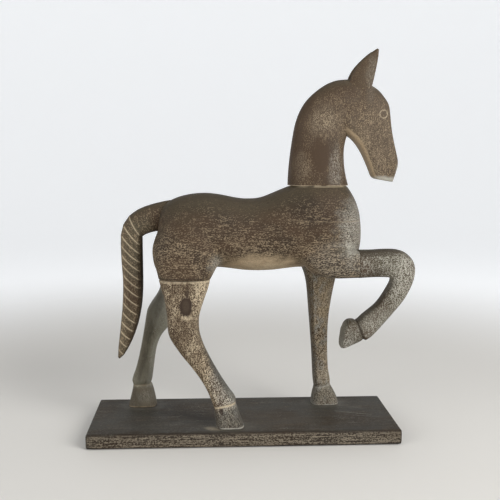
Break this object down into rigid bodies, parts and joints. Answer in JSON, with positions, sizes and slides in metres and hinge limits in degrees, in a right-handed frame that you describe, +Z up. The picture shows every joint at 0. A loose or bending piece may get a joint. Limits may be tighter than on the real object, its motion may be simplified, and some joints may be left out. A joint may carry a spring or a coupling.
{
  "type": "carved wooden horse statue",
  "caption": "Carved, stained wooden horse stepping with a raised foreleg, glued up from blocks and standing on a rectangular board.",
  "frame": {"origin": "centre of the base board's underside", "axes": "+Z up, +X the way the horse faces, +Y to the horse's left"},
  "size_m": [0.3463, 0.12, 0.4133],
  "materials": {
    "board_wood": "charcoal stain, long grain, edges and front face rubbed with pale wash",
    "torso_wood": "dark brown stain with pale wash left in a fine lengthwise grain, olive grey on the back, tan under the belly",
    "head_wood": "grey brown stain, finely speckled with pale wash",
    "tail_wood": "brown stain with slanting grooves cut to pale wood",
    "right_hind_wood": "brown stain with cream wash in an upright grain and one dark knot",
    "left_hind_wood": "dark green grey stain with little wash",
    "raised_leg_wood": "grey brown stain with silver grey wash on the worn outer side",
    "standing_leg_wood": "grey brown stain, darker behind and paler in front"
  },
  "bodies": {
    "root": {"base_board": "board_wood", "torso": "torso_wood", "neck_and_head": "head_wood", "tail": "tail_wood", "right_hind_leg": "right_hind_wood", "left_hind_leg": "left_hind_wood", "right_foreleg_raised": "raised_leg_wood", "left_foreleg_standing": "standing_leg_wood"}
  },
  "joints": []
}
